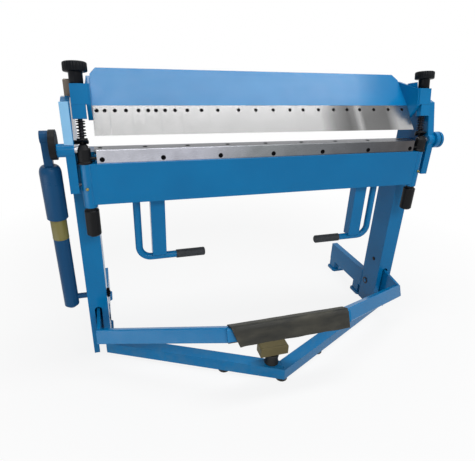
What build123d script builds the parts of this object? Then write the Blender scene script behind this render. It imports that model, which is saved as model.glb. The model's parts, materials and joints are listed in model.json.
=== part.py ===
from build123d import *
import os
from math import atan2, cos, degrees, hypot, radians, sin

# Manual box-and-pan folding machine, in millimetres.
# X runs along the bed, Y from front to back and Z up.
# Y = 0 is the front face of the folding bar, and Z = 0 is the floor.

# Working length, bed height and the clearances between pieces
finger_widths = [25, 30, 35, 40, 45, 50, 75, 100, 150, 200, 250, 270]
fold_length = float(sum(finger_widths))
bed_height = 900.0
work_gap = 2.0
seat_gap = 0.3
swing_clearance = 5.0
pin_clearance = 0.4

# Travel of the apron in degrees and of the clamp beam in millimetres
apron_swing = 120.0
clamp_travel = 41.8

# Ends of the beams and the round pieces outside them, counted outwards from the working length
end_radius = 22.0
cheek_thickness = 14.0
cheek_gap = 3.0
beam_margin = 1.0
apron_margin = 6.0
plate_gap = 4.0
bar_half = fold_length / 2
beam_half = bar_half + beam_margin
apron_half = bar_half + apron_margin
screw_x = beam_half + cheek_thickness + cheek_gap + end_radius

# Columns and side plates
side_plate_thickness = 29.0
column_width = 75.0
column_depth = 124.0
column_wall = 6.0
column_front_y = 80.0
column_drop = 146.0
slot_inset = 25.0
slot_width = 28.0
slot_top = 232.0
plate_inner_x = screw_x + end_radius + plate_gap
column_outer_x = plate_inner_x + side_plate_thickness
column_inner_x = column_outer_x - column_width
column_rear_y = column_front_y + column_depth
column_top = bed_height - column_drop
slot_inner_x = column_inner_x + slot_inset
side_plate_front_y = -3.0
side_plate_kink_drop = 9.0
side_plate_rise = 150.0
side_plate_top_y = 43.0
side_plate_crest_y = 79.0
side_plate_crest_rise = 10.0
side_plate_shoulder = 60.0
side_plate_fall = 110.0

# Steel posts on the side plates, behind the lugs
post_steel_width = 23.0
post_steel_depth = 24.0
post_steel_height = 54.0
post_steel_y = 88.0
post_steel_overlap = 17.0

# Base beams, feet and the V of floor tubes
base_beam_width = 32.0
base_beam_height = 100.0
base_beam_bottom = 60.0
base_beam_length = 330.0
base_beam_wall = 4.0
foot_plate = 76.0
foot_thickness = 12.0
foot_leg_depth = 50.0
foot_setback = 4.0
foot_overhang = 10.0
foot_shift = 14.0
foot_corner = 8.0
anchor_radius = 7.0
anchor_inset = 20.0
vee_tube = 50.0
vee_apex_y = -287.0
vee_end_y = 48.0
vee_end_inset = 10.0
vee_pad_height = 13.0
vee_pad_radius = 24.0
vee_pad_share = 0.34
vee_pad_inset = 4.0
base_beam_rear_y = column_rear_y + base_beam_length
vee_end_x = column_inner_x + vee_end_inset

# Rubber buffer and stop block on the V
buffer_radius = 29.0
buffer_waist = 3.0
buffer_height = 27.0
buffer_x = -36.0
buffer_y = -240.0
stop_block_width = 116.0
stop_block_depth = 50.0
stop_block_height = 58.0
stop_block_chamfer = 5.0

# Folding bar and apron, swung about the fold axis
bar_thickness = 11.0
bar_height = 45.0
bar_edge = 1.0
apron_step = 8.0
apron_wall = 8.0
apron_drop = 189.0
apron_depth = 63.0
apron_flange = 34.0
apron_crown_drop = 16.0
fold_axis_y = bar_thickness + work_gap / 2
apron_web_y = bar_thickness + apron_wall
apron_bottom = bed_height - apron_drop
bar_bottom = bed_height - bar_height

# Bed
bed_blade_depth = 46.0
bed_blade_thickness = 14.0
bed_blade_edge = 8.0
bed_blade_relief = 16.0
bed_beam_setback = 13.0
bed_beam_depth = 92.0
bed_beam_height = 112.0
bed_beam_chamfer = 14.0
bed_beam_gap = 4.0
bed_beam_front_y = apron_web_y + bed_beam_setback
bed_beam_top = bed_height - bed_blade_thickness
bed_beam_bottom = bed_beam_top - bed_beam_height

# Pivot shafts in their bosses, with the collar on the right and the off-centre disc on the left
shaft_radius = 11.0
shaft_start = 17.0
cap_thickness = 8.0
collar_gap = 1.0
collar_radius = 33.5
collar_length = 33.0
collar_groove = 5.0
boss_radius = 22.0
boss_length = 25.0
disc_radius = 49.0
disc_thickness = 20.0
disc_offset = 23.0
disc_inner_x = column_outer_x + boss_length + collar_gap
disc_outer_x = disc_inner_x + disc_thickness

# Apron handles
handle_x = 514.0
handle_y = 56.0
handle_drop = 256.0
handle_bend = 46.0
handle_radius = 14.0
grip_inner_x = 253.0
grip_length = 117.0
grip_radius = 17.0
grip_cap = 10.0
grip_round = 3.0
post_x = 438.0
post_width = 54.0
post_depth = 42.0
handle_z = apron_bottom - handle_drop

# Clamp beam and fingers, in the raised position
clamp_lean = 11.0
nose_y = 22.0
nose_z = bed_height + work_gap + clamp_travel * cos(radians(clamp_lean))
finger_slope = 50.8
finger_face = 113.0
finger_thickness = 28.0
finger_seam = 0.4
finger_land = 12.0
finger_relief = 1.5
finger_heel = 30.0
key_start = 76.0
key_width = 12.0
key_depth = 4.0
beam_seat_start = 42.0
beam_run = 115.0
beam_rise = 114.0
beam_cap = 13.0
beam_cap_drop = 6.0
beam_back_height = 129.0
beam_belly_inset = 54.0
beam_belly_drop = 48.0
beam_corner = 20.0

# Lugs, adjusting screws, springs and knobs at the beam's ends
lug_y = 62.0
lug_rise = 202.0
lug_length = 109.0
lug_arm_depth = 36.0
lug_arm_height = 64.0
lug_top_z = bed_height + lug_rise
cheek_inset = 6.0
cheek_fall = 26.0
cheek_low_rise = 12.0
saddle_rise = 26.0
saddle_sag = 2.5
saddle_depth = 60.0
screw_radius = 8.0
screw_clearance = 1.0
knob_radius = 38.0
knob_height = 30.0
knob_edge = 4.0
hub_radius = 22.0
hub_height = 36.0
spring_radius = 13.2
spring_wire = 1.3
spring_turns = 7
spring_steps = 16

# Spring seats under the screws
seat_down = 170.0
seat_height = 20.0
seat_radius = 20.0
seat_crown_radius = 17.0
seat_crown = 2.0
seat_bracket_depth = 26.0
seat_bracket_height = 14.0

# Hinge knuckles, end tubes and height adjusters at the apron's ends
knuckle_base = 2.5
knuckle_base_height = 6.0
knuckle_slope = 3.0
knuckle_shoulder = 3.0
knuckle_rise = 17.0
knuckle_neck = 12.0
knuckle_inset = 1.0
end_tube_inset = 5.0
end_tube_extra = 0.5
end_tube_length = 155.0
end_web_depth = 22.0
stub_radius = 5.0
stub_drop = 28.0
adjuster_radius = 25.0
adjuster_length = 110.0
adjuster_neck = 18.0
adjuster_neck_height = 8.0
adjuster_edge = 6.0
knuckle_x = screw_x - knuckle_inset
end_tube_x = screw_x - end_tube_inset
end_tube_radius = end_radius + end_tube_extra
end_tube_bottom = bar_bottom - end_tube_length

# Pedal, in the raised position
pedal_axis_y = 168.0
pedal_axis_z = 117.0
lever_gap = 8.0
lever_thickness = 12.0
lever_front_y = -30.0
lever_front_top = 204.0
lever_front_bottom = 136.0
lever_neck_y = 52.0
lever_neck_drop = 16.0
lever_throat = 42.0
lever_hub_radius = 24.0
pedal_pin_radius = 10.0
pedal_pin_end = 4.0
pedal_arm_width = 30.0
pedal_arm_margin = 4.0
pedal_bar_y = -280.0
pedal_bar_z = 283.0
pedal_bar_half = 250.0
pedal_tube = 50.0
pedal_tube_round = 6.0
mat_half = 225.0
mat_thickness = 6.0
mat_flap = 14.0
mat_round = 10.0
lever_inner_x = slot_inner_x + lever_gap
lever_outer_x = lever_inner_x + lever_thickness
lever_front_z = (lever_front_top + lever_front_bottom) / 2
pedal_tilt = degrees(atan2(pedal_bar_z - lever_front_z, lever_front_y - pedal_bar_y))

# Balance strut beside the left column
strut_pin_y = 92.0
strut_pin_z = 290.0
strut_pin_radius = 11.0
strut_nut_radius = 18.0
strut_nut_length = 11.0
crank_radius = 54.0
crank_angle = 47.0
strut_tube_radius = 27.5
strut_tube_tail = 44.0
strut_tube_round = 12.0
strut_cover_radius = 36.0
strut_cover_bore = 30.0
strut_cover_length = 168.0
strut_stroke_room = 104.0
strut_cone_height = 26.0
strut_cone_top = 22.0
strut_cap_thickness = 8.0
strut_eye_radius = 21.0
strut_eye_thickness = 30.0
strut_eye_bore = 11.0
strut_eye_recess = 4.0
strut_neck_width = 28.0
strut_neck_depth = 28.0
strut_neck_length = 98.0
strut_x = disc_outer_x + seat_gap + strut_eye_thickness / 2

# The frame's origin lies on the floor, midway between the four anchor holes
foot_front_y = column_rear_y + foot_setback + foot_plate / 2
foot_rear_y = base_beam_rear_y - foot_plate / 2 + foot_overhang
origin_y = (foot_front_y + foot_rear_y) / 2
anchor_x = column_inner_x + base_beam_width + anchor_inset


def block(x0, x1, y0, y1, z0, z1):
    return Pos((x0 + x1) / 2, (y0 + y1) / 2, (z0 + z1) / 2) * Box(x1 - x0, y1 - y0, z1 - z0)


def side_profile(points, x0, x1):
    return extrude(Plane.YZ.offset(x0) * make_face(Polyline(*points, close=True)), amount=x1 - x0)


def bar_x(radius, x0, x1, y, z):
    return Pos((x0 + x1) / 2, y, z) * Rot(0, 90, 0) * Cylinder(radius, x1 - x0)


def turned(points):
    return revolve(Plane.XZ * make_face(Polyline(*points, close=True)), Axis.Z)


def mirrored(solid):
    return mirror(solid, about=Plane.YZ)


def both_sides(solid):
    return [mirrored(solid), solid]


def write(name, *shapes):
    pieces = [Pos(0, -origin_y, 0) * solid for shape in shapes for solid in shape.solids()]
    part = pieces[0] if len(pieces) == 1 else Compound(children=pieces)
    part.label = name
    export_step(part, f"parts/{name}.step")


# Points of the finger and its seat: along is measured up the sloping face, deep is measured into it
def seat_point(along, deep):
    slope = radians(finger_slope)
    return (
        nose_y + along * cos(slope) + deep * sin(slope),
        nose_z + along * sin(slope) - deep * cos(slope),
    )


beam_crest = seat_point(finger_face + seat_gap, 0)
beam_top_y = beam_crest[0] + beam_run
beam_top_z = beam_crest[1] + beam_rise
beam_back_y = beam_top_y + beam_cap
beam_back_top = beam_top_z - beam_cap_drop
beam_back_bottom = beam_back_top - beam_back_height
beam_belly_y = beam_back_y - beam_belly_inset
beam_belly_z = beam_back_bottom - beam_belly_drop


# The line of the adjusting screws, given by the distance down from the top of the lugs
def screw_place(x, down):
    lean = radians(clamp_lean)
    return Pos(x, lug_y - down * sin(lean), lug_top_z - down * cos(lean)) * Rot(-clamp_lean, 0, 0)


# A box tube standing on the floor, with a round-topped slot at the front for the pedal lever
def column():
    shell = block(column_inner_x, column_outer_x, column_front_y, column_rear_y, 0, column_top)
    shell -= block(
        column_inner_x + column_wall, column_outer_x - column_wall,
        column_front_y + column_wall, column_rear_y - column_wall,
        -column_wall, column_top - column_wall,
    )
    slot_end = slot_top - slot_width / 2
    slot = block(
        slot_inner_x, slot_inner_x + slot_width,
        column_front_y - column_wall, column_front_y + 2 * column_wall,
        -column_wall, slot_end,
    )
    slot += Pos(slot_inner_x + slot_width / 2, column_front_y + column_wall / 2, slot_end) * Rot(
        90, 0, 0
    ) * Cylinder(slot_width / 2, 3 * column_wall)
    shell -= slot
    return shell - through_column(pedal_pin_radius, pedal_axis_y, pedal_axis_z)


def through_column(radius, y, z):
    return bar_x(radius + pin_clearance, column_inner_x - column_wall, column_outer_x + column_wall, y, z)


# The plate carries the shaft in a boss, which stands out by the given length
def side_plate(boss_end):
    top = bed_height + side_plate_rise
    post_rear_y = post_steel_y + post_steel_depth
    outline = [
        (side_plate_front_y, column_top),
        (side_plate_front_y, bed_height - side_plate_kink_drop),
        (side_plate_top_y, top),
        (side_plate_crest_y, top + side_plate_crest_rise),
        (post_rear_y, top + side_plate_crest_rise),
        (column_rear_y - side_plate_shoulder, top - 2 * side_plate_crest_rise),
        (column_rear_y, top - side_plate_fall),
        (column_rear_y, column_top),
    ]
    plate = side_profile(outline, plate_inner_x, column_outer_x)
    plate += bar_x(boss_radius, plate_inner_x, column_outer_x + boss_end, fold_axis_y, bed_height)
    return plate - bar_x(
        shaft_radius + pin_clearance, plate_inner_x - column_wall, column_outer_x + boss_end + column_wall,
        fold_axis_y, bed_height,
    )


def steel_post():
    low = bed_height + side_plate_rise + side_plate_crest_rise
    start = plate_inner_x + post_steel_overlap - post_steel_width
    body = block(
        start, start + post_steel_width, post_steel_y, post_steel_y + post_steel_depth,
        low, low + post_steel_height,
    )
    return chamfer(body.edges().group_by(Axis.Z)[-1], 2)


def base_beam():
    top = base_beam_bottom + base_beam_height
    outer_x = column_inner_x + base_beam_width
    beam = block(column_inner_x, outer_x, column_rear_y, base_beam_rear_y, base_beam_bottom, top)
    return beam - block(
        column_inner_x + base_beam_wall, outer_x - base_beam_wall,
        column_rear_y - base_beam_wall, base_beam_rear_y - base_beam_wall,
        base_beam_bottom + base_beam_wall, top - base_beam_wall,
    )


def foot(center_y):
    middle_x = column_inner_x + base_beam_width / 2 + foot_shift
    plate = block(
        middle_x - foot_plate / 2, middle_x + foot_plate / 2,
        center_y - foot_plate / 2, center_y + foot_plate / 2,
        0, foot_thickness,
    )
    plate = chamfer(plate.edges().filter_by(Axis.Z), foot_corner)
    plate -= Pos(anchor_x, center_y, foot_thickness / 2) * Cylinder(anchor_radius, 2 * foot_thickness)
    leg = block(
        column_inner_x, column_inner_x + base_beam_width,
        center_y - foot_leg_depth / 2, center_y + foot_leg_depth / 2,
        foot_thickness, base_beam_bottom,
    )
    return plate + leg


# One arm of the V, mitred at the front and cut off against the column
def vee_arm():
    run = hypot(vee_end_x, vee_end_y - vee_apex_y)
    turn = degrees(atan2(vee_end_y - vee_apex_y, vee_end_x))
    reach = run + 2 * vee_tube
    middle = Pos(reach / 2 - vee_tube, vee_tube / 2, vee_pad_height + vee_tube / 2)
    tube = middle * Box(reach, vee_tube, vee_tube)
    tube = Pos(0, vee_apex_y, 0) * Rot(0, 0, turn) * tube
    tube = split(tube, bisect_by=Plane.YZ, keep=Keep.TOP)
    tube = split(tube, bisect_by=Plane.YZ.offset(slot_inner_x - work_gap), keep=Keep.BOTTOM)
    return tube - block(
        column_inner_x, column_outer_x, column_front_y, column_rear_y + vee_tube, 0, column_top
    )


def vee_point(share, inward):
    turn = atan2(vee_end_y - vee_apex_y, vee_end_x)
    return (
        share * vee_end_x - inward * sin(turn),
        vee_apex_y + share * (vee_end_y - vee_apex_y) + inward * cos(turn),
    )


def vee_pads():
    side_x, side_y = vee_point(vee_pad_share, vee_tube / 2)
    places = [(-side_x, side_y), (0, vee_apex_y + vee_pad_radius + vee_pad_inset), (side_x, side_y)]
    return [Pos(x, y, vee_pad_height / 2) * Cylinder(vee_pad_radius, vee_pad_height) for x, y in places]


def rubber_buffer():
    low = vee_pad_height + vee_tube
    outline = [
        (0, low), (buffer_radius, low), (buffer_radius - buffer_waist, low + buffer_height / 2),
        (buffer_radius, low + buffer_height), (0, low + buffer_height),
    ]
    return Pos(buffer_x, buffer_y, 0) * turned(outline)


def stop_block():
    low = vee_pad_height + vee_tube + buffer_height
    body = block(
        buffer_x - stop_block_width / 2, buffer_x + stop_block_width / 2,
        buffer_y - stop_block_depth / 2, buffer_y + stop_block_depth / 2,
        low, low + stop_block_height,
    )
    return chamfer(body.edges().group_by(Axis.Z)[-1], stop_block_chamfer)


# The bed beam is notched at both ends, where the apron's end tubes swing
def bed_beam():
    rear_y = bed_beam_front_y + bed_beam_depth
    body = block(-plate_inner_x, plate_inner_x, bed_beam_front_y, rear_y, bed_beam_bottom, bed_beam_top)
    body = chamfer(body.edges().filter_by(Axis.X).group_by(Axis.Z)[0], bed_beam_chamfer)
    notch = block(
        bar_half + beam_margin, plate_inner_x,
        bed_beam_front_y, fold_axis_y + end_tube_radius + 1.5 * swing_clearance,
        bed_beam_bottom, bed_beam_top,
    )
    return body - notch - mirrored(notch)


def bed_blade():
    front = bar_thickness + work_gap
    rear = front + bed_blade_depth
    outline = [
        (front, bed_height), (rear, bed_height), (rear, bed_beam_top),
        (front + bed_blade_relief, bed_beam_top), (front, bed_height - bed_blade_edge),
    ]
    return side_profile(outline, -apron_half, apron_half)


def hinge_knuckle():
    base = end_radius + knuckle_base
    top = bed_height + knuckle_rise
    outline = [
        (0, bar_bottom), (base, bar_bottom), (base, bar_bottom + knuckle_base_height),
        (end_radius, bar_bottom + knuckle_base_height + knuckle_slope),
        (end_radius, bed_height + knuckle_shoulder), (knuckle_neck, top), (0, top),
    ]
    body = Pos(knuckle_x, fold_axis_y, 0) * turned(outline)
    body -= bar_x(
        shaft_radius + pin_clearance, knuckle_x - shaft_start, knuckle_x + 2 * end_radius,
        fold_axis_y, bed_height,
    )
    stub = bar_x(
        stub_radius, bar_half + seat_gap, knuckle_x, bar_thickness - stub_radius, bed_height - stub_drop
    )
    return body + stub


def end_tube():
    body = Pos(end_tube_x, fold_axis_y, (end_tube_bottom + bar_bottom) / 2) * Cylinder(
        end_tube_radius, end_tube_length
    )
    return body + block(
        apron_half, end_tube_x, -apron_step, fold_axis_y + end_web_depth / 2, apron_bottom, bar_bottom
    )


def height_adjuster():
    low = end_tube_bottom - adjuster_length
    neck = end_tube_bottom - adjuster_neck_height
    outline = [
        (0, end_tube_bottom), (adjuster_neck, end_tube_bottom), (adjuster_neck, neck),
        (adjuster_radius, neck - adjuster_edge), (adjuster_radius, low + adjuster_edge),
        (adjuster_radius - adjuster_edge, low), (0, low),
    ]
    return Pos(end_tube_x, fold_axis_y, 0) * turned(outline)


# The seat is cut away where the hinge knuckle passes under it, upright and at the end of the swing
def spring_seat():
    waist = -seat_height / 2
    outline = [
        (0, -seat_height), (seat_radius, -seat_height), (seat_radius, waist),
        (seat_crown_radius, -seat_crown), (seat_crown_radius, 0), (0, 0),
    ]
    body = screw_place(screw_x, seat_down) * turned(outline)
    bracket = Box(end_radius + plate_gap, seat_bracket_depth, seat_bracket_height)
    body += screw_place((screw_x + plate_inner_x) / 2, seat_down - waist + seat_crown + 1) * bracket
    body -= screw_place(screw_x, seat_down) * Cylinder(screw_radius, 3 * seat_height)
    clear = end_radius + swing_clearance
    body -= bar_x(clear, screw_x - 2 * clear, plate_inner_x, fold_axis_y, bed_height)
    swept = block(-2 * clear, 2 * clear, -clear, 0, -2 * clear, 0)
    return body - Pos(screw_x, fold_axis_y, bed_height) * Rot(-apron_swing, 0, 0) * swept


def adjusting_screw():
    below = seat_down + seat_height / 3
    above = hub_height + pedal_pin_end
    return screw_place(screw_x, (below - above) / 2) * Cylinder(screw_radius, below + above)


# The wire is lofted through six-sided sections, which keeps the coil light
def lug_spring():
    start = lug_length + spring_wire + seat_gap
    end = seat_down - spring_wire - seat_gap
    free = end - start
    coil = Helix(pitch=free / spring_turns, height=free, radius=spring_radius)
    sections = []
    for step in range(spring_turns * spring_steps + 1):
        share = step / (spring_turns * spring_steps)
        outwards = Vector(1, 0, 0).rotate(Axis.Z, 360 * spring_turns * share)
        place = Plane(origin=coil @ share, x_dir=outwards, z_dir=coil % share)
        sections.append(place * RegularPolygon(spring_wire, 6))
    return screw_place(screw_x, end) * loft(sections, ruled=True)


def clamp_beam():
    socket = finger_thickness - key_depth + seat_gap
    outline = [
        seat_point(beam_seat_start, finger_thickness),
        seat_point(key_start + seat_gap, finger_thickness),
        seat_point(key_start + seat_gap, socket),
        seat_point(key_start + key_width - seat_gap, socket),
        seat_point(key_start + key_width - seat_gap, finger_thickness),
        seat_point(finger_face + seat_gap, finger_thickness),
        beam_crest,
        (beam_top_y, beam_top_z),
        (beam_back_y, beam_back_top),
        (beam_back_y, beam_back_bottom),
        (beam_belly_y, beam_belly_z),
    ]
    body = side_profile(outline, -beam_half, beam_half)
    corner_face = make_face(
        Polyline(
            (beam_half, beam_top_z),
            (beam_half - beam_corner, beam_top_z),
            (beam_half, beam_top_z - beam_corner),
            close=True,
        )
    )
    corner = Pos(0, beam_back_y, 0) * extrude(Plane.XZ * corner_face, amount=beam_back_y)
    return body - corner - mirrored(corner)


# A finger with a sharp nose, a ground land under it and a key slot in the back
def finger(x0, x1):
    heel_y = seat_point(0, finger_thickness)[0]
    outline = [
        (nose_y, nose_z),
        (nose_y + finger_land, nose_z),
        (nose_y + finger_land + 2 * finger_relief, nose_z + finger_relief),
        (heel_y + finger_relief, nose_z + finger_relief),
        seat_point(finger_heel, finger_thickness),
        seat_point(key_start, finger_thickness),
        seat_point(key_start, finger_thickness - key_depth),
        seat_point(key_start + key_width, finger_thickness - key_depth),
        seat_point(key_start + key_width, finger_thickness),
        seat_point(finger_face, finger_thickness),
        seat_point(finger_face, 0),
    ]
    return side_profile(outline, x0 + finger_seam / 2, x1 - finger_seam / 2)


# A leaning sleeve on the adjusting screw, tied to the beam's end by an arm, a cheek and a saddle
def clamp_lug():
    lean = radians(clamp_lean)
    front_y = lug_y - lug_arm_depth / 2
    arm_bottom = lug_top_z - lug_arm_height * cos(lean)
    body = screw_place(screw_x, lug_length / 2) * Cylinder(end_radius, lug_length)
    arm = Box(screw_x - beam_half, lug_arm_depth, lug_arm_height)
    body += screw_place((screw_x + beam_half) / 2, lug_arm_height / 2) * arm
    rear_y = beam_back_y - cheek_inset
    cheek = [
        (front_y, lug_top_z),
        (lug_y + lug_arm_depth, lug_top_z + cheek_inset),
        (beam_top_y - beam_corner, beam_top_z - cheek_fall),
        (rear_y, beam_top_z - cheek_fall - cheek_thickness),
        (rear_y, beam_back_bottom + cheek_low_rise),
        (beam_belly_y, beam_belly_z + cheek_low_rise),
        (seat_point(beam_seat_start, finger_thickness)[0], beam_belly_z + 2 * cheek_low_rise),
        (front_y - lug_arm_height * sin(lean), arm_bottom),
    ]
    body += side_profile(cheek, beam_half, beam_half + cheek_thickness)
    saddle_x = beam_half + cheek_thickness / 2
    lug_x = screw_x - hub_radius - cheek_gap
    hollow = [
        (saddle_x, saddle_rise),
        (saddle_x + saddle_sag, saddle_rise / 3),
        (lug_x, -seat_gap),
        (lug_x, cheek_inset - lug_arm_height),
        (saddle_x, cheek_inset - lug_arm_height),
    ]
    saddle = extrude(Plane.XZ * make_face(Polyline(*hollow, close=True)), amount=saddle_depth)
    body += screw_place(0, 0) * Pos(0, saddle_depth, 0) * saddle
    bore = Cylinder(screw_radius + screw_clearance, 2 * lug_length)
    return body - screw_place(screw_x, lug_length / 2) * bore


def knob(x):
    bore = screw_radius + seat_gap
    bore_top = hub_height + pedal_pin_end + 2 * seat_gap
    top = hub_height + knob_height
    outline = [
        (bore, 0), (hub_radius, 0), (hub_radius, hub_height), (knob_radius - knob_edge, hub_height),
        (knob_radius, hub_height + knob_edge), (knob_radius, top - knob_edge),
        (knob_radius - knob_edge, top), (0, top), (0, bore_top), (bore, bore_top),
    ]
    return screw_place(x, -seat_gap) * turned(outline)


def apron_beam():
    crown = bed_height - apron_crown_drop
    rear_y = apron_web_y + apron_depth
    bar_seat_y = bar_thickness + pin_clearance / 2
    outline = [
        (-apron_step, bar_bottom),
        (-apron_step, apron_bottom),
        (rear_y, apron_bottom),
        (rear_y, apron_bottom + apron_flange),
        (apron_web_y, bed_beam_bottom - bed_beam_gap),
        (apron_web_y, crown),
        (bar_seat_y, crown),
        (bar_seat_y, bar_bottom),
    ]
    return side_profile(outline, -apron_half, apron_half)


def folding_bar():
    body = block(-bar_half, bar_half, 0, bar_thickness, bar_bottom, bed_height)
    return chamfer(body.edges().filter_by(Axis.X).group_by(Axis.Z)[-1].sort_by(Axis.Y)[:1], bar_edge)


def pivot_shaft(outer_x):
    return bar_x(shaft_radius, knuckle_x - shaft_start, outer_x, fold_axis_y, bed_height)


# A round collar with a groove near its outer end
def shaft_collar():
    start = column_outer_x + collar_gap
    end = start + collar_length
    body = bar_x(collar_radius, start, end, fold_axis_y, bed_height)
    groove_start = end - 3 * collar_groove
    groove_end = groove_start + collar_groove
    groove = bar_x(2 * collar_radius, groove_start, groove_end, fold_axis_y, bed_height)
    groove -= bar_x(collar_radius - collar_groove, groove_start, groove_end, fold_axis_y, bed_height)
    return body - groove - bar_x(shaft_radius, start, end - cap_thickness, fold_axis_y, bed_height)


# The disc sits off the fold axis, towards the pin of the balance strut
def balance_disc():
    body = bar_x(disc_radius, disc_inner_x, disc_outer_x, *crank_point(disc_offset))
    body -= bar_x(shaft_radius, column_outer_x, disc_outer_x - cap_thickness, fold_axis_y, bed_height)
    return mirrored(body)


def handle_tube():
    path = FilletPolyline(
        (handle_x, handle_y, apron_bottom),
        (handle_x, handle_y, handle_z),
        (grip_inner_x + grip_cap, handle_y, handle_z),
        radius=handle_bend,
    )
    section = Plane(origin=path @ 0, z_dir=path % 0) * Circle(handle_radius)
    return sweep(section, path=path)


def handle_post():
    body = block(
        post_x - post_width / 2, post_x + post_width / 2,
        handle_y - post_depth / 2, handle_y + post_depth / 2,
        handle_z, apron_bottom,
    )
    tube_room = handle_radius + seat_gap
    return body - bar_x(tube_room, post_x - post_width, post_x + post_width, handle_y, handle_z)


def handle_grip():
    outer_x = grip_inner_x + grip_length
    body = bar_x(grip_radius, grip_inner_x, outer_x, handle_y, handle_z)
    body = chamfer(body.edges().filter_by(GeomType.CIRCLE).sort_by(Axis.X)[:1], grip_round)
    return body - bar_x(handle_radius, grip_inner_x + grip_cap, outer_x + grip_cap, handle_y, handle_z)


# A plate lever that comes out through the column's slot, with the pin it turns on
def pedal_lever():
    outline = [
        (lever_front_y, lever_front_bottom), (lever_front_y, lever_front_top),
        (column_front_y + column_wall, slot_top - 2 * swing_clearance),
        (column_front_y + lever_neck_y, slot_top - lever_neck_drop),
        (pedal_axis_y + lever_hub_radius, pedal_axis_z),
        (pedal_axis_y, pedal_axis_z - lever_hub_radius),
        (column_front_y, lever_front_bottom - lever_throat),
    ]
    body = side_profile(outline, lever_inner_x, lever_outer_x)
    body += bar_x(lever_hub_radius, lever_inner_x, lever_outer_x, pedal_axis_y, pedal_axis_z)
    return body + bar_x(
        pedal_pin_radius, column_inner_x - pedal_pin_end, column_outer_x + pedal_pin_end,
        pedal_axis_y, pedal_axis_z,
    )


# A square tube that slants from the end of the pedal bar to the front of the lever
def pedal_arm():
    high = Vector(pedal_bar_half - pedal_arm_width / 3, pedal_bar_y, pedal_bar_z)
    low = Vector(lever_outer_x, lever_front_y, lever_front_z)
    along = (low - high).normalized()
    side = Vector(0, 0, 1).cross(along).normalized()
    place = Plane(origin=high, x_dir=side, z_dir=along)
    depth = lever_front_top - lever_front_bottom - 2 * pedal_arm_margin
    body = extrude(place * Rectangle(pedal_arm_width, depth), amount=(low - high).length + pedal_arm_width)
    body = split(body, bisect_by=Plane(origin=(0, lever_front_y, 0), z_dir=(0, 1, 0)), keep=Keep.BOTTOM)
    body = split(body, bisect_by=Plane.YZ.offset(lever_outer_x), keep=Keep.BOTTOM)
    return split(body, bisect_by=Plane.YZ.offset(pedal_bar_half), keep=Keep.TOP)


def pedal_bar():
    body = Box(2 * pedal_bar_half, pedal_tube, pedal_tube)
    body = fillet(body.edges().filter_by(Axis.X), pedal_tube_round)
    return Pos(0, pedal_bar_y, pedal_bar_z) * Rot(-pedal_tilt, 0, 0) * body


# A rubber mat folded over the bar, open underneath, its flaps hanging below the bar
def pedal_sleeve():
    inner = pedal_tube / 2 + seat_gap
    outer = inner + mat_thickness
    body = block(-mat_half, mat_half, -outer, outer, -pedal_tube / 2 - mat_flap, outer)
    body = fillet(body.edges().filter_by(Axis.X).group_by(Axis.Z)[-1], mat_round)
    body -= block(-2 * mat_half, 2 * mat_half, -inner, inner, -pedal_tube, inner)
    return Pos(0, pedal_bar_y, pedal_bar_z) * Rot(-pedal_tilt, 0, 0) * body


def crank_point(radius=crank_radius):
    turn = radians(crank_angle)
    return fold_axis_y + radius * sin(turn), bed_height + radius * cos(turn)


def strut_length():
    top_y, top_z = crank_point()
    return hypot(strut_pin_y - top_y, top_z - strut_pin_z)


def strut_place():
    top_y, top_z = crank_point()
    lean = degrees(atan2(strut_pin_y - top_y, top_z - strut_pin_z))
    return Pos(-strut_x, strut_pin_y, strut_pin_z) * Rot(lean, 0, 0)


# The lower tube with its cross pin, which passes through the left column and ends in a nut
def strut_tube():
    top = strut_length() - strut_neck_length - strut_cone_height - strut_stroke_room
    outline = [
        (0, -strut_tube_tail), (strut_tube_radius - strut_tube_round, -strut_tube_tail),
        (strut_tube_radius, strut_tube_round - strut_tube_tail), (strut_tube_radius, top), (0, top),
    ]
    body = strut_place() * turned(outline)
    nut_end = -column_inner_x + strut_nut_length + collar_gap
    body += bar_x(strut_pin_radius, -strut_x, nut_end, strut_pin_y, strut_pin_z)
    return body + bar_x(
        strut_nut_radius, nut_end - strut_nut_length, nut_end, strut_pin_y, strut_pin_z
    )


# The upper tube, open below, with a neck and an eye beside the disc
def strut_cover():
    top = strut_length() - strut_neck_length
    shoulder = top - strut_cone_height
    ceiling = shoulder - strut_cap_thickness
    low = shoulder - strut_cover_length
    outline = [
        (strut_cover_bore, low), (strut_cover_radius, low), (strut_cover_radius, shoulder),
        (strut_cone_top, top), (0, top), (0, ceiling), (strut_cover_bore, ceiling),
    ]
    body = turned(outline)
    body += Pos(0, 0, strut_length() - strut_neck_length / 2) * Box(
        strut_neck_width, strut_neck_depth, strut_neck_length
    )
    body += Pos(0, 0, strut_length()) * Rot(0, 90, 0) * Cylinder(strut_eye_radius, strut_eye_thickness)
    recess_x = (strut_eye_recess - strut_eye_thickness) / 2
    body -= Pos(recess_x, 0, strut_length()) * Rot(0, 90, 0) * Cylinder(strut_eye_bore, strut_eye_recess)
    return strut_place() * body


os.makedirs("parts", exist_ok=True)

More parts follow.
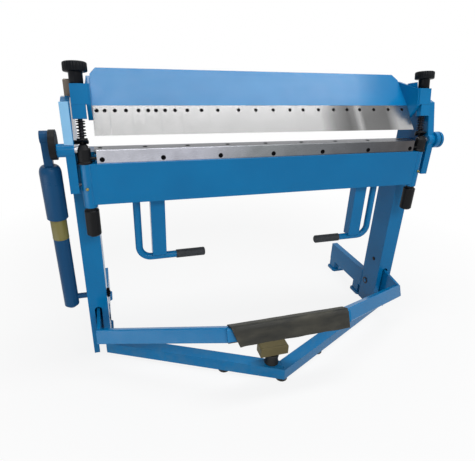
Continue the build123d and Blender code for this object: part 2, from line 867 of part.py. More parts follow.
strut_bore = through_column(strut_pin_radius, strut_pin_y, strut_pin_z)
write("column_left", mirrored(column() - strut_bore))
write("column_right", column())
write("side_plate_left", mirrored(side_plate(boss_length)))
write("side_plate_right", side_plate(0))
write("steel_posts", *both_sides(steel_post()))
write("base_beams", *both_sides(base_beam()))
write("feet", *both_sides(foot(foot_front_y)), *both_sides(foot(foot_rear_y)))
write("vee_tubes", *both_sides(vee_arm()))
write("vee_pads", *vee_pads())
write("rubber_buffer", rubber_buffer())
write("stop_block", stop_block())
write("bed_beam", bed_beam())
write("bed_blade", bed_blade())
write("spring_seats", *both_sides(spring_seat()))
write("adjusting_screws", *both_sides(adjusting_screw()))
write("lug_springs", *both_sides(lug_spring()))
write("clamp_beam", clamp_beam())
write("clamp_lug_left", mirrored(clamp_lug()))
write("clamp_lug_right", clamp_lug())
edge_x = -bar_half
for number, width in enumerate(finger_widths, start=1):
    write(f"finger_{number:02d}", finger(edge_x, edge_x + width))
    edge_x += width
write("knob_left", knob(-screw_x))
write("knob_right", knob(screw_x))
write("apron_beam", apron_beam())
write("folding_bar", folding_bar())
write("end_tubes", *both_sides(end_tube()))
write("hinge_knuckles", *both_sides(hinge_knuckle()))
write("height_adjusters", *both_sides(height_adjuster()))
write("pivot_shafts", mirrored(pivot_shaft(disc_outer_x - cap_thickness)),
      pivot_shaft(column_outer_x + collar_gap + collar_length - cap_thickness))
write("shaft_collar", shaft_collar())
write("balance_disc", balance_disc())
write("handle_tubes", *both_sides(handle_tube()))
write("handle_posts", *both_sides(handle_post()))
write("handle_grips", *both_sides(handle_grip()))
write("pedal_levers", *both_sides(pedal_lever()))
write("pedal_arms", *both_sides(pedal_arm()))
write("pedal_bar", pedal_bar())
write("pedal_sleeve", pedal_sleeve())
write("strut_tube", strut_tube())
write("strut_cover", strut_cover())
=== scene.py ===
import json
import math

import bmesh
import bpy
import numpy as np
from mathutils import Matrix, Vector


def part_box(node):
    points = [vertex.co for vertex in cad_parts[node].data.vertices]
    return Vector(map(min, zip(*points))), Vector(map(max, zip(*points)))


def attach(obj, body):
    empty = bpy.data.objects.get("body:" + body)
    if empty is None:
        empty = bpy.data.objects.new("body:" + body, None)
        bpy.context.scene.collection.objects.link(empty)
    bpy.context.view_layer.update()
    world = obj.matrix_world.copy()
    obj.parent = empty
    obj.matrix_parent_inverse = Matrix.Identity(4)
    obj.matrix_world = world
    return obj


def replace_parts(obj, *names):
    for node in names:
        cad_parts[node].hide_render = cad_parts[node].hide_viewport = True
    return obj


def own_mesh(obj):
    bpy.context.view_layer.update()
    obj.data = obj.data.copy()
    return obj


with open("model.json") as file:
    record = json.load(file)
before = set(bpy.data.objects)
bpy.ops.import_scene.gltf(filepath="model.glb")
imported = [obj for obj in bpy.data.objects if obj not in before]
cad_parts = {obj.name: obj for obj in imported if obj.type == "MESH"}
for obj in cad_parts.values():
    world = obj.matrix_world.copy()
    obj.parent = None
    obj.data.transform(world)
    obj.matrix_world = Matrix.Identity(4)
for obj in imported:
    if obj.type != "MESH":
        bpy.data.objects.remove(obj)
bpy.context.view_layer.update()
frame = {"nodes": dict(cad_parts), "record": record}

nodes = frame["nodes"]
print("stage 1: frame loaded,", len(nodes), "nodes")

# Lengths below are millimetres: X right, Y back from the front of the folding bar, Z up from the floor.
rowShift = np.array([0.0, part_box("folding_bar")[0].y * 1000, 0.0])


def cornersOf(node):
    # lowest and highest corner of a CAD node in those millimetres
    return [np.array(corner) * 1000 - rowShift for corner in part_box(node)]


barLow, barHigh = cornersOf("folding_bar")
apronLow = cornersOf("apron_beam")[0]
columnLow, columnHigh = cornersOf("column_right")
plateLow, plateHigh = cornersOf("side_plate_right")
baseLow, baseHigh = cornersOf("base_beams")
veeLow, veeHigh = cornersOf("vee_tubes")
handleLow, handleHigh = cornersOf("handle_tubes")
postLow, postHigh = cornersOf("handle_posts")
endTubeHigh = cornersOf("end_tubes")[1]
steelPostLow, steelPostHigh = cornersOf("steel_posts")
strutLow, strutHigh = cornersOf("strut_tube")
collarHigh = cornersOf("shaft_collar")[1]
noseLow = cornersOf("finger_01")[0]
machine = {
    "foldY": plateLow[1] + 22.0, "bedZ": barHigh[2],  # the line that the apron folds about
    "slope": math.radians(50.8),  # of the clamp beam's front
    "lean": math.radians(11.0),  # of the lugs and their screws
    "lugX": 675.0, "lugY": 62.0, "lugTop": barHigh[2] + 202.0,
    "endTubeRadius": 22.5,
}


# Surfaces: every shape is a grid of points, worked out as one array

def gridSurface(points):
    # quads between neighbouring points of a rows x columns grid; the last column meets the first
    rows, columns = points.shape[:2]
    index = np.arange(rows * columns).reshape(rows, columns)
    index = np.hstack([index, index[:, :1]])
    quads = np.stack([index[:-1, :-1], index[:-1, 1:], index[1:, 1:], index[1:, :-1]], -1)
    return points.reshape(-1, 3), quads.reshape(-1, 4)


def turned(profile, sides=32, across=None):
    # a point is (r cos a, r sin a, z) for each (r, z) of the profile and angle a; across(row, a) scales r
    profile = np.array(profile, float)
    angle = np.linspace(0, 2 * np.pi, sides, endpoint=False)
    scale = np.ones((len(profile), sides))
    if across is not None:
        scale = across(np.arange(len(profile))[:, None], angle[None])
    radius = profile[:, :1] * scale
    height = np.repeat(profile[:, 1:], sides, axis=1)
    return gridSurface(np.stack([radius * np.cos(angle), radius * np.sin(angle), height], -1))


def carried(path, section, up=(0, 0, 1), swell=None, capped=True):
    # a point is path + u side + v rise for each (u, v) of the closed section, times the swell there;
    # side = tangent x up, rise = side x tangent
    path, section = np.array(path, float), np.array(section, float)
    tangent = np.gradient(path, axis=0)
    tangent /= np.linalg.norm(tangent, axis=1)[:, None]
    side = np.cross(tangent, np.array(up, float))
    side /= np.linalg.norm(side, axis=1)[:, None]
    rise = np.cross(side, tangent)
    scale = np.ones(len(path)) if swell is None else swell
    offset = section[None, :, :1] * side[:, None] + section[None, :, 1:] * rise[:, None]
    points = path[:, None] + offset * scale[:, None, None]
    return gridSurface(capEnds(points) if capped else points)


def capEnds(points):
    # closes both ends of a tube of points with a row gathered in its middle
    middles = points[[0, -1]].mean(axis=1)[:, None, None]
    first, last = [np.repeat(middle, points.shape[1], axis=1) for middle in middles]
    return np.concatenate([first, points, last])


def roundSection(radius, sides):
    # points (r cos a, r sin a) round a circle
    angle = np.linspace(0, 2 * np.pi, sides, endpoint=False)
    return radius * np.stack([np.cos(angle), np.sin(angle)], -1)


def resampled(corners, step):
    # points a step apart along straight lines between the corners
    corners = np.array(corners, float)
    lengths = np.linalg.norm(np.diff(corners, axis=0), axis=1)
    at = np.concatenate([[0], np.cumsum(lengths)])
    wanted = np.linspace(0, at[-1], max(3, int(at[-1] / step)))
    return np.stack([np.interp(wanted, at, corners[:, axis]) for axis in range(3)], -1)


def placed(surface, origin, axis=(0, 0, 1)):
    # turns the surface's +Z onto the axis, then moves it to the origin
    axis = np.array(axis, float) / np.linalg.norm(axis)
    helper = np.array([1.0, 0, 0]) if abs(axis[0]) < 0.9 else np.array([0, 1.0, 0])
    across = np.cross(helper, axis)
    across /= np.linalg.norm(across)
    basis = np.stack([across, np.cross(axis, across), axis])
    return surface[0] @ basis + np.array(origin, float), surface[1]


def mirrored(surface):
    # the same surface on the other side of X = 0
    return surface[0] * np.array([-1.0, 1, 1]), surface[1][:, ::-1]


def bothSides(*surfaces):
    # each surface and its mirror copy
    return [*surfaces, *[mirrored(surface) for surface in surfaces]]


oneWithin = 2e-6  # metres: points closer than this become one
thinEdge = 1e-7  # metres: shorter edges go


def makePiece(name, surfaces, body, material, sharp=35):
    # joins the surfaces in one closed mesh in metres, faces outwards, and sets it on its body
    starts = np.cumsum([0] + [len(points) for points, quads in surfaces])
    points = (np.concatenate([surface[0] for surface in surfaces]) + rowShift) / 1000
    quads = np.concatenate([surface[1] + start for surface, start in zip(surfaces, starts)])
    mesh = bpy.data.meshes.new(name)
    mesh.from_pydata(points, [], quads)
    shell = bmesh.new()
    shell.from_mesh(mesh)
    bmesh.ops.remove_doubles(shell, verts=shell.verts, dist=oneWithin)
    bmesh.ops.dissolve_degenerate(shell, edges=shell.edges, dist=thinEdge)
    bmesh.ops.recalc_face_normals(shell, faces=shell.faces)
    shell.to_mesh(mesh)
    shell.free()
    mesh.shade_smooth()
    mesh.set_sharp_from_angle(angle=math.radians(sharp))
    mesh.materials.append(material)
    piece = bpy.data.objects.new(name, mesh)
    bpy.context.scene.collection.objects.link(piece)
    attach(piece, body)
    return piece


# Materials. A noise's Scale is 1000 over the size of its clouds in millimetres. Map Range takes 0 a value,
# 1 and 2 its range, 3 and 4 the new range. Mix takes 0 a share, 6 and 7 the colours, and gives output 2.

def linearColour(code):
    # sRGB hex to linear
    values = np.array([int(code[i:i + 2], 16) / 255 for i in (1, 3, 5)])
    linear = np.where(values <= 0.04045, values / 12.92, ((values + 0.055) / 1.055) ** 2.4)
    return (*[float(v) for v in linear], 1.0)


def feed(tree, node, inputs):
    # sets each input: to a plain value, or by a link from a socket or from a node's first output
    for socket, value in inputs.items():
        if isinstance(value, bpy.types.Node):
            value = value.outputs[0]
        if isinstance(value, bpy.types.NodeSocket):
            tree.links.new(value, node.inputs[socket])
        else:
            node.inputs[socket].default_value = value


def addNode(tree, kind, inputs=None, **settings):
    # adds one node with its settings and links
    node = tree.nodes.new("ShaderNode" + kind)
    for key, value in settings.items():
        setattr(node, key, value)
    feed(tree, node, inputs or {})
    return node


def startMaterial(name, **fixed):
    # an empty material with its shader; fixed values go on the shader's own sockets
    material = bpy.data.materials.new(name)
    material.use_nodes = True
    tree = material.node_tree
    tree.nodes.clear()
    shader = addNode(tree, "BsdfPrincipled", {key.replace("_", " "): value for key, value in fixed.items()})
    addNode(tree, "OutputMaterial", {"Surface": shader})
    place = addNode(tree, "TexCoord").outputs["Object"]
    return material, tree, shader, place


def edgeWear(tree, radiusMm):
    # 1 on edges, 0 on flats: how far the normal of a rounded edge turns from the true one
    rounded = addNode(tree, "Bevel", {"Radius": radiusMm / 1000}, samples=6)
    true = addNode(tree, "NewGeometry").outputs["Normal"]
    turn = addNode(tree, "VectorMath", {0: rounded, 1: true}, operation="DOT_PRODUCT").outputs["Value"]
    return addNode(tree, "MapRange", {0: turn, 1: 0.95, 2: 0.86})


def machineEnamel(name, look):
    # sprayed alkyd enamel on welded plate: a wet gloss over a faint orange peel, dusty near the floor
    material, tree, shader, place = startMaterial(name, IOR=1.5, Specular_IOR_Level=look["gloss"])
    colour, shade, dust, primer = [linearColour(look[key]) for key in ("colour", "shade", "dust", "primer")]
    cloud = addNode(tree, "TexNoise", {"Vector": place, "Scale": 1000 / 260, "Detail": 2, "Roughness": 0.55})
    patch = addNode(tree, "TexNoise", {"Vector": place, "Scale": 1000 / 40, "Detail": 3, "Roughness": 0.55})
    fleck = addNode(tree, "TexNoise", {"Vector": place, "Scale": 1000 / 14, "Detail": 3, "Roughness": 0.55})
    peel = addNode(tree, "TexNoise", {"Vector": place, "Scale": 1000 / 5, "Detail": 1, "Roughness": 0.55})
    clouded = addNode(tree, "MapRange", {0: cloud, 1: 0.35, 2: 0.65})
    base = addNode(tree, "Mix", {0: clouded, 6: colour, 7: shade}, data_type="RGBA").outputs[2]
    height = addNode(tree, "SeparateXYZ", {0: place}).outputs[2]
    nearFloor = addNode(tree, "MapRange", {0: height, 1: 0.14, 2: 0.0})  # metres
    patchy = addNode(tree, "MapRange", {0: patch, 1: 0.42, 2: 0.62})
    low = addNode(tree, "Math", {0: nearFloor, 1: patchy}, operation="MULTIPLY")
    dusty = addNode(tree, "Math", {0: low, 1: 0.3}, operation="MULTIPLY")
    base = addNode(tree, "Mix", {0: dusty, 6: base, 7: dust}, data_type="RGBA").outputs[2]
    flecked = addNode(tree, "MapRange", {0: fleck, 1: 0.58, 2: 0.66})
    rubbed = addNode(tree, "Math", {0: edgeWear(tree, 0.9), 1: flecked}, operation="MULTIPLY")
    bare = addNode(tree, "Math", {0: rubbed, 1: 0.7}, operation="MULTIPLY")
    base = addNode(tree, "Mix", {0: bare, 6: base, 7: primer}, data_type="RGBA").outputs[2]
    smooth, dull = look["roughness"] - 0.03, look["roughness"] + 0.05
    rough = addNode(tree, "MapRange", {0: patch, 1: 0.3, 2: 0.7, 3: smooth, 4: dull})
    soft = addNode(tree, "Bevel", {"Radius": 1.2 / 1000}, samples=6)
    bump = addNode(tree, "Bump", {"Height": peel, "Distance": 0.04 / 1000, "Strength": 0.3, "Normal": soft})
    feed(tree, shader, {"Base Color": base, "Roughness": rough, "Normal": bump})
    return material


def groundSteel(name, colour, stain, roughness, grain=(0.04, 1, 1), paintedReflectionX=None, depth=0.25):
    # surface-ground tool steel: bright, with straight grinding lines and a light oil film, and painted
    # reflections along X where they are given
    material, tree, shader, place = startMaterial(name, Metallic=1.0)
    colour, stain = linearColour(colour), linearColour(stain)
    drawn = addNode(tree, "Mapping", {"Vector": place, "Scale": grain})
    # real lines are 0.1 mm apart, drawn coarser to show
    lines = addNode(tree, "TexNoise", {"Vector": drawn, "Scale": 1000 / 2, "Detail": 3, "Roughness": 0.7})
    film = addNode(tree, "TexNoise", {"Vector": place, "Scale": 1000 / 70, "Detail": 4, "Roughness": 0.55})
    oily = addNode(tree, "MapRange", {0: film, 1: 0.45, 2: 0.75, 3: 0.0, 4: 0.45})
    base = addNode(tree, "Mix", {0: oily, 6: colour, 7: stain}, data_type="RGBA").outputs[2]
    lined = addNode(tree, "MapRange", {0: lines, 1: 0.3, 2: 0.75, 3: 0.0, 4: depth})
    base = addNode(tree, "Mix", {0: lined, 6: base, 7: stain}, data_type="RGBA").outputs[2]
    # painted reflection: a ramp along X darkens the steel where it mirrors darker surroundings
    if paintedReflectionX:
        half = 640  # mm: the painted reflections run from one end of the machine to the other
        along = addNode(tree, "SeparateXYZ", {0: place}).outputs[0]
        share = addNode(tree, "MapRange", {0: along, 1: -half / 1000, 2: half / 1000})
        ramped = addNode(tree, "ValToRGB", {"Fac": share})
        stops = ramped.color_ramp.elements
        while len(stops) < len(paintedReflectionX):
            stops.new(0.5)
        for stop, (at, code) in zip(stops, paintedReflectionX):
            stop.position = (at + half) / (2 * half)
            stop.color = linearColour(code)
        inputs = {0: 1.0, 6: base, 7: ramped}
        base = addNode(tree, "Mix", inputs, data_type="RGBA", blend_type="MULTIPLY").outputs[2]
    smooth, dull = roughness - 0.2 * depth, roughness + 0.3 * depth
    rough = addNode(tree, "MapRange", {0: lines, 1: 0.2, 2: 0.8, 3: smooth, 4: dull})
    soft = addNode(tree, "Bevel", {"Radius": 0.5 / 1000}, samples=6)
    inputs = {"Height": lines, "Distance": 0.02 / 1000, "Strength": depth, "Normal": soft}
    bump = addNode(tree, "Bump", inputs)
    feed(tree, shader, {"Base Color": base, "Roughness": rough, "Normal": bump})
    return material


def blackIron(name, colour="#0C0D0F", worn="#3C3D40", roughness=0.46, gloss=0.15):
    # sand-cast iron under black paint: a fine grain, rubbed grey on its edges
    material, tree, shader, place = startMaterial(name, Specular_IOR_Level=gloss)
    grit = addNode(tree, "TexNoise", {"Vector": place, "Scale": 1000 / 2.2, "Detail": 4, "Roughness": 0.55})
    fleck = addNode(tree, "TexNoise", {"Vector": place, "Scale": 1000 / 6, "Detail": 3, "Roughness": 0.55})
    flecked = addNode(tree, "MapRange", {0: fleck, 1: 0.45, 2: 0.6})
    rubbed = addNode(tree, "Math", {0: edgeWear(tree, 0.8), 1: flecked}, operation="MULTIPLY")
    inputs = {0: rubbed, 6: linearColour(colour), 7: linearColour(worn)}
    base = addNode(tree, "Mix", inputs, data_type="RGBA").outputs[2]
    rough = addNode(tree, "MapRange", {0: grit, 1: 0.3, 2: 0.7, 3: roughness - 0.08, 4: roughness + 0.1})
    soft = addNode(tree, "Bevel", {"Radius": 0.8 / 1000}, samples=6)
    bump = addNode(tree, "Bump", {"Height": grit, "Distance": 0.12 / 1000, "Strength": 0.4, "Normal": soft})
    feed(tree, shader, {"Base Color": base, "Roughness": rough, "Normal": bump})
    return material


def mouldedPlastic(name, colour="#06080C", shade="#0D1015", roughness=0.36):
    # moulded black phenolic: even and slightly grained, with a soft shine
    material, tree, shader, place = startMaterial(name, Specular_IOR_Level=0.1)
    cloud = addNode(tree, "TexNoise", {"Vector": place, "Scale": 1000 / 18, "Detail": 2, "Roughness": 0.55})
    grain = addNode(tree, "TexNoise", {"Vector": place, "Scale": 1000 / 1.2, "Detail": 2, "Roughness": 0.55})
    clouded = addNode(tree, "MapRange", {0: cloud, 1: 0.3, 2: 0.7})
    inputs = {0: clouded, 6: linearColour(colour), 7: linearColour(shade)}
    base = addNode(tree, "Mix", inputs, data_type="RGBA").outputs[2]
    rough = addNode(tree, "MapRange", {0: cloud, 1: 0.3, 2: 0.7, 3: roughness - 0.05, 4: roughness + 0.07})
    soft = addNode(tree, "Bevel", {"Radius": 0.8 / 1000}, samples=6)
    bump = addNode(tree, "Bump", {"Height": grain, "Distance": 0.05 / 1000, "Strength": 0.4, "Normal": soft})
    feed(tree, shader, {"Base Color": base, "Roughness": rough, "Normal": bump})
    return material


def wornRubber(name, colour="#1C1C18", dusty="#4A483F", roughness=0.6, rubMm=38, edge="#5E5C52"):
    # cured rubber sheet: dull and nearly black, chalky on top where feet rub it
    material, tree, shader, place = startMaterial(name, Specular_IOR_Level=0.3)
    drawn = addNode(tree, "Mapping", {"Vector": place, "Scale": (0.3, 1, 1)})
    inputs = {"Vector": drawn, "Scale": 1000 / rubMm, "Detail": 5, "Roughness": 0.55}
    rubbed = addNode(tree, "TexNoise", inputs)
    grain = addNode(tree, "TexNoise", {"Vector": place, "Scale": 1000 / 1.6, "Detail": 3, "Roughness": 0.55})
    normal = addNode(tree, "NewGeometry").outputs["Normal"]
    upward = addNode(tree, "SeparateXYZ", {0: normal}).outputs[2]
    patchy = addNode(tree, "MapRange", {0: rubbed, 1: 0.4, 2: 0.68})
    onTop = addNode(tree, "MapRange", {0: upward, 1: 0.1, 2: 0.95, 3: 0.15, 4: 1.0})
    chalk = addNode(tree, "Math", {0: patchy, 1: onTop}, operation="MULTIPLY")
    inputs = {0: chalk, 6: linearColour(colour), 7: linearColour(dusty)}
    base = addNode(tree, "Mix", inputs, data_type="RGBA").outputs[2]
    frayed = addNode(tree, "Math", {0: edgeWear(tree, 1.5), 1: 0.35}, operation="MULTIPLY")
    inputs = {0: frayed, 6: base, 7: linearColour(edge)}
    base = addNode(tree, "Mix", inputs, data_type="RGBA").outputs[2]
    rough = addNode(tree, "MapRange", {0: rubbed, 1: 0.3, 2: 0.7, 3: roughness - 0.1, 4: roughness + 0.1})
    soft = addNode(tree, "Bevel", {"Radius": 1.5 / 1000}, samples=6)
    bump = addNode(tree, "Bump", {"Height": grain, "Distance": 0.1 / 1000, "Strength": 0.5, "Normal": soft})
    feed(tree, shader, {"Base Color": base, "Roughness": rough, "Normal": bump})
    return material


enamelLook = {"colour": "#0671A8", "shade": "#066BA1", "dust": "#52768F", "primer": "#6A7880",
              "roughness": 0.2, "gloss": 0.16}
strutLook = {"colour": "#164A73", "shade": "#12426A", "dust": "#2E5470", "primer": "#5C6870",
             "roughness": 0.3, "gloss": 0.12}
khakiLook = {"colour": "#6C6242", "shade": "#5A5237", "dust": "#857C60", "primer": "#94907C",
             "roughness": 0.5, "gloss": 0.16}
bandLook = {"colour": "#77703A", "shade": "#66602F", "dust": "#857C60", "primer": "#A19A6A",
            "roughness": 0.36, "gloss": 0.4}
# a paler blue: the painted highlight on the front edge of the left side plate
highlightLook = {"colour": "#92C8EE", "shade": "#8AC1E8", "dust": "#4F8FB8", "primer": "#8AA0AC",
            "roughness": 0.25, "gloss": 0.16}
enamel = machineEnamel("blueMachineEnamel", enamelLook)
strutEnamel = machineEnamel("darkStrutEnamel", strutLook)
khaki = machineEnamel("khakiBlockPaint", khakiLook)
bandPaint = machineEnamel("oliveBandPaint", bandLook)
highlightEnamel = machineEnamel("paintedHighlightEnamel", highlightLook)

# painted reflections: tints at places along X, where the steel mirrors darker and lighter surroundings
fingerPaintedReflection = [(-640, "#FFFFFF"), (210, "#FDFDFD"), (275, "#BCBCBC"), (340, "#929292"), (366, "#B0B0B0"),
              (388, "#F0F0F0"), (410, "#A8A8A8"), (520, "#A0A0A0"), (570, "#FFFFFF"), (640, "#FFFFFF")]
barPaintedReflection = [(-640, "#FFFFFF"), (-300, "#EDEDF0"), (-60, "#B2B6B2"), (240, "#949694"), (420, "#7C7D7C"),
           (640, "#7A7672")]
fingerSteel = groundSteel("groundFingerSteel", "#B2B2B2", "#A4A4A4", 0.24, (1, 0.04, 0.04), fingerPaintedReflection, 0.08)
barSteel = groundSteel("groundBarSteel", "#BDBEC6", "#8E9096", 0.24, (0.03, 1, 1), barPaintedReflection)
bladeSteel = groundSteel("groundBladeSteel", "#66676D", "#66676C", 0.28, (0.03, 1, 1))
shaftSteel = groundSteel("turnedShaftSteel", "#B0B0B3", "#7A7A7A", 0.3, (1, 1, 1))
postSteel = groundSteel("brownedPostSteel", "#686058", "#48423C", 0.42, (1, 1, 0.2))
studSteel = groundSteel("blackedScrewSteel", "#2C2C30", "#1A1A1D", 0.4, (1, 1, 1))
springSteel = groundSteel("oiledSpringSteel", "#2A2A2F", "#151518", 0.36, (1, 1, 1))
brass = groundSteel("turnedBrass", "#8E8450", "#5E5634", 0.4, (1, 1, 1))
iron = blackIron("blackCastIron")
screwBlack = blackIron("blackOxideScrew", "#08080A", "#1E1E20", 0.6, 0.03)
plastic = mouldedPlastic("mouldedBlackPlastic")
gripPlastic = mouldedPlastic("dippedGripVinyl", "#35373A", "#414346", 0.5)
rubber = wornRubber("wornRubberSheet")
bufferRubber = wornRubber("mouldedBufferRubber", "#101010", "#242422", 0.55, 12)

bySlot = {"blue_paint": enamel, "khaki_paint": khaki, "black_iron": iron, "black_plastic": plastic,
          "black_rubber": bufferRubber, "spring_steel": springSteel, "ground_steel": fingerSteel}
byNode = {"bed_blade": bladeSteel, "folding_bar": barSteel, "pivot_shafts": shaftSteel,
          "adjusting_screws": studSteel, "steel_posts": postSteel, "handle_grips": gripPlastic,
          "pedal_sleeve": rubber, "strut_tube": strutEnamel, "strut_cover": strutEnamel}
slotOf = {part["node"]: part["material_slot"] for part in frame["record"]["subparts"]}
for nodeName, node in nodes.items():
    node.data.materials.clear()
    node.data.materials.append(byNode.get(nodeName, bySlot[slotOf[nodeName]]))
print("stage 2: materials made")


# Screws

def hexagon(angle):
    # radius scale that turns a circle into the hexagon round it: 1 / cos(a mod 60 - 30 degrees)
    return 1 / np.cos((angle % (np.pi / 3)) - np.pi / 6)


def socketScrew(look, sides=24):
    # domed head with a hexagonal socket, turned: outer wall, crown, then down into the socket
    radius, height, flat, socket = look["radius"], look["height"], look["flat"], look["socket"]
    rim = min(radius * 0.14, height * 0.6)
    profile = [(radius, -0.5), (radius, height - rim), (radius - rim, height), (flat * 1.25, height),
               (flat, height - 0.15), (flat, height - socket), (0, height - socket)]
    return turned(profile, sides, lambda row, angle: np.where(row >= 4, hexagon(angle), 1.0))


slopeOut = (0, -math.sin(machine["slope"]), math.cos(machine["slope"]))
slopeUp = np.array([0, math.cos(machine["slope"]), math.sin(machine["slope"])])
fingerScrews = {
    "x": [-622, -596, -563, -526, -484, -451, -424, -392, -357, -313, -261, -200,
          -120, -52, 18, 88, 144, 211, 278, 339, 398, 465, 535, 603],
    "along": 94.0,  # up the face from the fingers' tips
    "radius": 6.8, "height": 1.6, "flat": 3.0, "socket": 1.4,
}
barScrews = {
    "x": [-618, -414, -207, 0, 207, 414, 618], "z": 868.0,
    "radius": 8.6, "height": 1.4, "flat": 3.8, "socket": 1.2,
}
bladeScrews = {
    "first": -622, "step": 150, "count": 9, "y": 36.0,
    "radius": 7.8, "height": 0.5, "flat": 3.2, "socket": 0.35,
}

screwLine = np.array([0, noseLow[1], noseLow[2]]) + fingerScrews["along"] * slopeUp
heads = [placed(socketScrew(fingerScrews), screwLine + (x, 0, 0), slopeOut) for x in fingerScrews["x"]]
makePiece("fingerScrews", heads, "clamp", screwBlack)
heads = [placed(socketScrew(barScrews), (x, barLow[1], barScrews["z"]), (0, -1, 0)) for x in barScrews["x"]]
makePiece("barScrews", heads, "apron", screwBlack)
bladeX = [bladeScrews["first"] + bladeScrews["step"] * count for count in range(bladeScrews["count"])]
heads = [placed(socketScrew(bladeScrews), (x, bladeScrews["y"], machine["bedZ"])) for x in bladeX]
makePiece("bladeScrews", heads, "frame", screwBlack)
print("stage 3: screws placed")


# Knobs, studs, springs and grease nipples at the lugs

def leaning(x, down):
    # a point on the line of the adjusting screw, that far down from the lug's top
    lean = machine["lean"]
    return np.array([x, machine["lugY"] - down * math.sin(lean), machine["lugTop"] - down * math.cos(lean)])


leanUp = (0, math.sin(machine["lean"]), math.cos(machine["lean"]))
leanFront = np.array([0, -math.cos(machine["lean"]), math.sin(machine["lean"])])
knobShape = {"hub": 22.0, "hubHeight": 36.0, "cap": 38.0, "top": 66.0, "flutes": 30, "depth": 1.3,
             "gap": 0.3}
stud = {"radius": 8.0, "pitch": 2.5, "depth": 1.0, "above": 40.0, "below": 176.6, "sides": 20}
spring = {"radius": 13.0, "wire": 1.9, "turns": 6.3, "from": 111.0, "to": 168.6,
          "crowd": 0.045, "pointsPerTurn": 28}


def flutedKnob():
    # r(row, a) = profile radius, less a cosine wave round the rim rows only
    hub, low, cap, top = (knobShape[key] for key in ("hub", "hubHeight", "cap", "top"))
    profile = [(0, 0), (hub - 1, 0), (hub, 1), (hub, low - 3), (hub + 1, low - 0.8), (hub + 3.5, low),
               (cap - 5, low), (cap - 1.6, low + 1), (cap, low + 3.5), (cap, top - 5),
               (cap - 1.4, top - 1.6), (cap - 5, top), (cap - 17, top), (cap - 19, top - 1.2), (0, top - 1.2)]
    rim = np.array([0] * 7 + [0.6, 1, 1, 0.6] + [0] * 4)
    share = knobShape["depth"] / cap

    def wave(row, angle):
        return 1 - share * rim[row] * (0.5 - 0.5 * np.cos(knobShape["flutes"] * angle))
    return turned(profile, knobShape["flutes"] * 6, wave)


for side, body in ((-1, "left_knob"), (1, "right_knob")):
    knob = placed(flutedKnob(), leaning(side * machine["lugX"], -knobShape["gap"]), leanUp)
    piece = makePiece(body.replace("_knob", "FlutedKnob"), [knob], body, plastic, sharp=50)
    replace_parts(piece, "knob_" + body.split("_")[0])


def threadedStud():
    # r(a, z) = radius - depth * triangle(z / pitch - a / 2 pi), with both ends closed
    rows = np.arange(0, stud["above"] + stud["below"], stud["pitch"] / 5)
    angle = np.linspace(0, 2 * np.pi, stud["sides"], endpoint=False)
    phase = (rows[:, None] / stud["pitch"] - angle[None] / (2 * np.pi)) % 1
    radius = stud["radius"] - stud["depth"] * np.abs(2 * phase - 1)
    height = np.repeat(rows[:, None], stud["sides"], 1)
    return gridSurface(capEnds(np.stack([radius * np.cos(angle), radius * np.sin(angle), height], -1)))


def coilSpring():
    # centre line (R cos 2 pi t, R sin 2 pi t, z(t)), closer at both ends; a circle is carried along it
    turns = np.linspace(0, spring["turns"], int(spring["turns"] * spring["pointsPerTurn"]))
    share = turns / spring["turns"]
    length = spring["to"] - spring["from"] - 2 * spring["wire"]
    rise = length * (share - spring["crowd"] * np.sin(2 * np.pi * share)) + spring["wire"]
    angle = 2 * np.pi * turns
    centre = np.stack([spring["radius"] * np.cos(angle), spring["radius"] * np.sin(angle), rise], -1)
    return carried(centre, roundSection(spring["wire"], 8))


studs = bothSides(placed(threadedStud(), leaning(machine["lugX"], stud["below"]), leanUp))
threads = makePiece("adjustingStuds", studs, "frame", studSteel, sharp=80)
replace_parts(threads, "adjusting_screws")
wires = bothSides(placed(coilSpring(), leaning(machine["lugX"], spring["to"]), leanUp))
coils = makePiece("coilSprings", wires, "frame", springSteel, sharp=80)
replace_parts(coils, "lug_springs")
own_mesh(coils)

nipple = {
    "x": 675.0, "y": -10.0, "z": 770.0, "hexRows": 3, "hexScale": 0.87,
    "profile": [(5.5, -1), (5.5, 3.5), (4.6, 4.2), (2.4, 4.6), (2.0, 7.0), (2.9, 8.2), (2.9, 9.6),
                (1.6, 10.8), (0, 11)],
}


def nippleShape(row, angle):
    # a hexagon at the foot, round above
    return np.where(row < nipple["hexRows"], nipple["hexScale"] * hexagon(angle), 1.0)


fitting = turned(nipple["profile"], 18, nippleShape)
fittings = bothSides(placed(fitting, (nipple["x"], nipple["y"], nipple["z"]), (0, -1, 0)))
makePiece("greaseNipples", fittings, "apron", brass)
print("stage 4: knobs, studs, springs and nipples made")


# Pins, nuts and rings

def hexNut(flat, height, bore=0.0):
    # a turned profile whose middle rows are a hexagon, closed by its end faces
    profile = [(bore, 0), (flat * 0.95, 0), (flat, 0.8), (flat, height - 0.8), (flat * 0.95, height),
               (bore, height)]
    return turned(profile, 36, lambda row, angle: np.where((row == 2) | (row == 3), hexagon(angle), 1.0))


def washer(inner, outer, thick):
    # a flat turned ring with slightly rounded rims
    rim = 0.5
    return turned([(inner, 0), (outer - rim, 0), (outer, rim), (outer, thick - rim), (outer - rim, thick),
                   (inner, thick)], 36)


